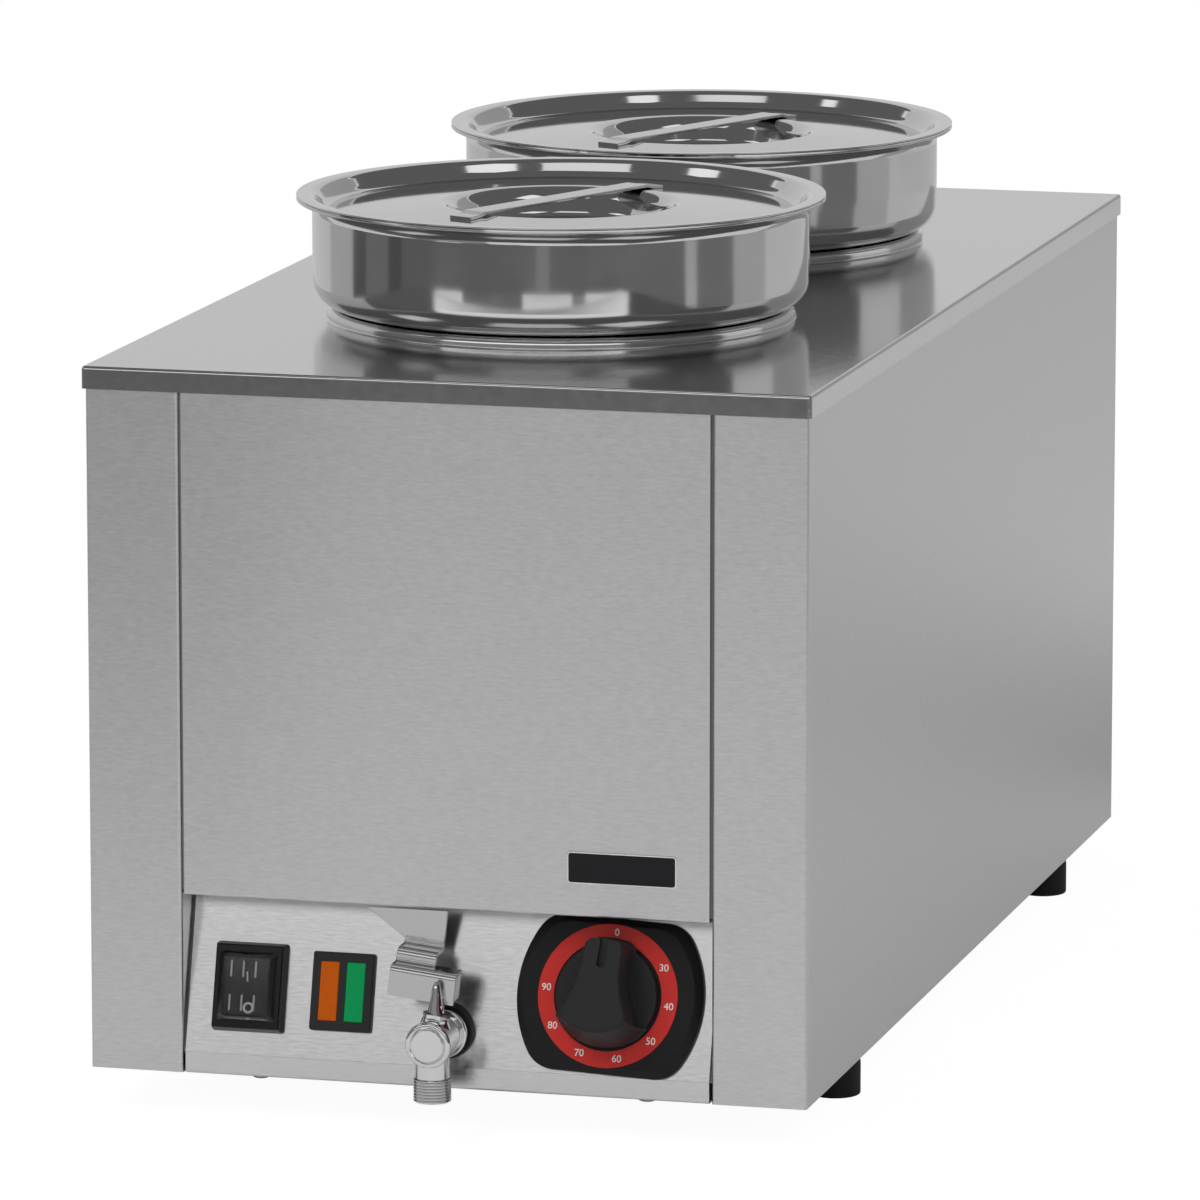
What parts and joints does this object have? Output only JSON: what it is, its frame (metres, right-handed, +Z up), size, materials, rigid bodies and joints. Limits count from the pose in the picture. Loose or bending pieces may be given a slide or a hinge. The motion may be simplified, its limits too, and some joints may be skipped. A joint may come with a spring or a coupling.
{
  "type": "bain marie",
  "caption": "Countertop bain marie: long stainless steel water-bath casing with lidded round pots set in its deck, and a slanted front panel with switch, lamps, dial and drain tap.",
  "frame": {"origin": "centre of the overall box, on the surface that the feet stand on", "axes": "+Z up, -Y the front with the control panel, +Y the back, +X to the user's right"},
  "size_m": [0.33, 0.7172, 0.3902],
  "materials": {
    "bright_steel": "bright polished stainless sheet",
    "brushed_steel": "fine horizontal brush",
    "plain_steel": "dull mill finish",
    "pot_steel": "mirror polished outside",
    "lid_steel": "polished",
    "strap_steel": "satin strip",
    "lever_steel": "satin sheet",
    "screw_steel": "bright zinc",
    "tap_chrome": "polished plate",
    "brass": "plain",
    "badge_plate": "blank dark face with a bright edge",
    "black_rubber": "matte moulded",
    "black_plastic": "fine moulded grain",
    "switch_black": "gloss moulded",
    "clear_cover": "clear flexible cover",
    "indicator_grey": "charcoal moulded",
    "amber": "ribbed lens",
    "green": "ribbed lens",
    "dial_red": "printed ring with white numbers",
    "terminal_cream": "plain moulded"
  },
  "bodies": {
    "casing": {"top_cover": "bright_steel", "left_side_panel": "brushed_steel", "right_side_panel": "brushed_steel", "front_panel": "brushed_steel", "control_panel": "brushed_steel", "back_panel": "plain_steel", "base_plate": "plain_steel", "badge_plate": "badge_plate", "foot_front_left": "black_rubber", "foot_front_right": "black_rubber", "foot_rear_left": "black_rubber", "foot_rear_right": "black_rubber", "foot_screws": "screw_steel", "base_screws": "screw_steel", "rear_screws": "screw_steel", "water_tank": "plain_steel", "drain_pipe": "brass", "heating_element": "plain_steel", "element_bushings": "brass", "thermostat_plate": "black_plastic", "dial_ring": "dial_red", "thermostat_body": "black_plastic", "sensor_bulb": "brass", "bulb_clip": "plain_steel", "switch_housing": "switch_black", "switch_cover": "clear_cover", "indicator_housing": "indicator_grey", "amber_lens": "amber", "green_lens": "green", "tap_washer": "black_rubber", "tap_body": "tap_chrome", "tap_cap": "tap_chrome", "tap_packing_nut": "tap_chrome", "cable_gland": "black_plastic", "gland_locknut": "black_plastic", "terminal_block": "terminal_cream"},
    "thermostat_knob": {"knob": "black_plastic", "knob_shaft": "screw_steel"},
    "power_rocker": {"switch_rocker": "switch_black"},
    "tap_handle": {"tap_ball": "tap_chrome", "tap_stem": "tap_chrome", "tap_wing": "tap_chrome", "tap_lever": "lever_steel", "tap_lever_screw": "screw_steel"},
    "front_pot": {"pot_front": "pot_steel"},
    "rear_pot": {"pot_rear": "pot_steel"},
    "front_lid": {"lid_front": "lid_steel", "lid_handle_front": "strap_steel"},
    "rear_lid": {"lid_rear": "lid_steel", "lid_handle_rear": "strap_steel"}
  },
  "joints": [
    {"name": "thermostat_turn", "type": "hinge", "parent": "casing", "child": "thermostat_knob", "pos_m": [0.0731, -0.31939, 0.062], "axis": [0, 0.9659, -0.2588], "range_deg": [0, 268]},
    {"name": "rocker_tilt", "type": "hinge", "parent": "casing", "child": "power_rocker", "pos_m": [-0.0915, -0.31974, 0.05682], "axis": [-1, 0, 0], "range_deg": [0, 18]},
    {"name": "tap_turn", "type": "hinge", "parent": "casing", "child": "tap_handle", "pos_m": [0, -0.3472, 0.044], "axis": [0.1132, 0, 0.9936], "range_deg": [0, 90]},
    {"name": "front_pot_lift", "type": "slide", "parent": "casing", "child": "front_pot", "axis": [0, 0, 1], "range_m": [0, 0.25]},
    {"name": "rear_pot_lift", "type": "slide", "parent": "casing", "child": "rear_pot", "axis": [0, 0, 1], "range_m": [0, 0.25]},
    {"name": "front_lid_lift", "type": "slide", "parent": "front_pot", "child": "front_lid", "axis": [0, 0, 1], "range_m": [0, 0.12]},
    {"name": "rear_lid_lift", "type": "slide", "parent": "rear_pot", "child": "rear_lid", "axis": [0, 0, 1], "range_m": [0, 0.12]}
  ]
}
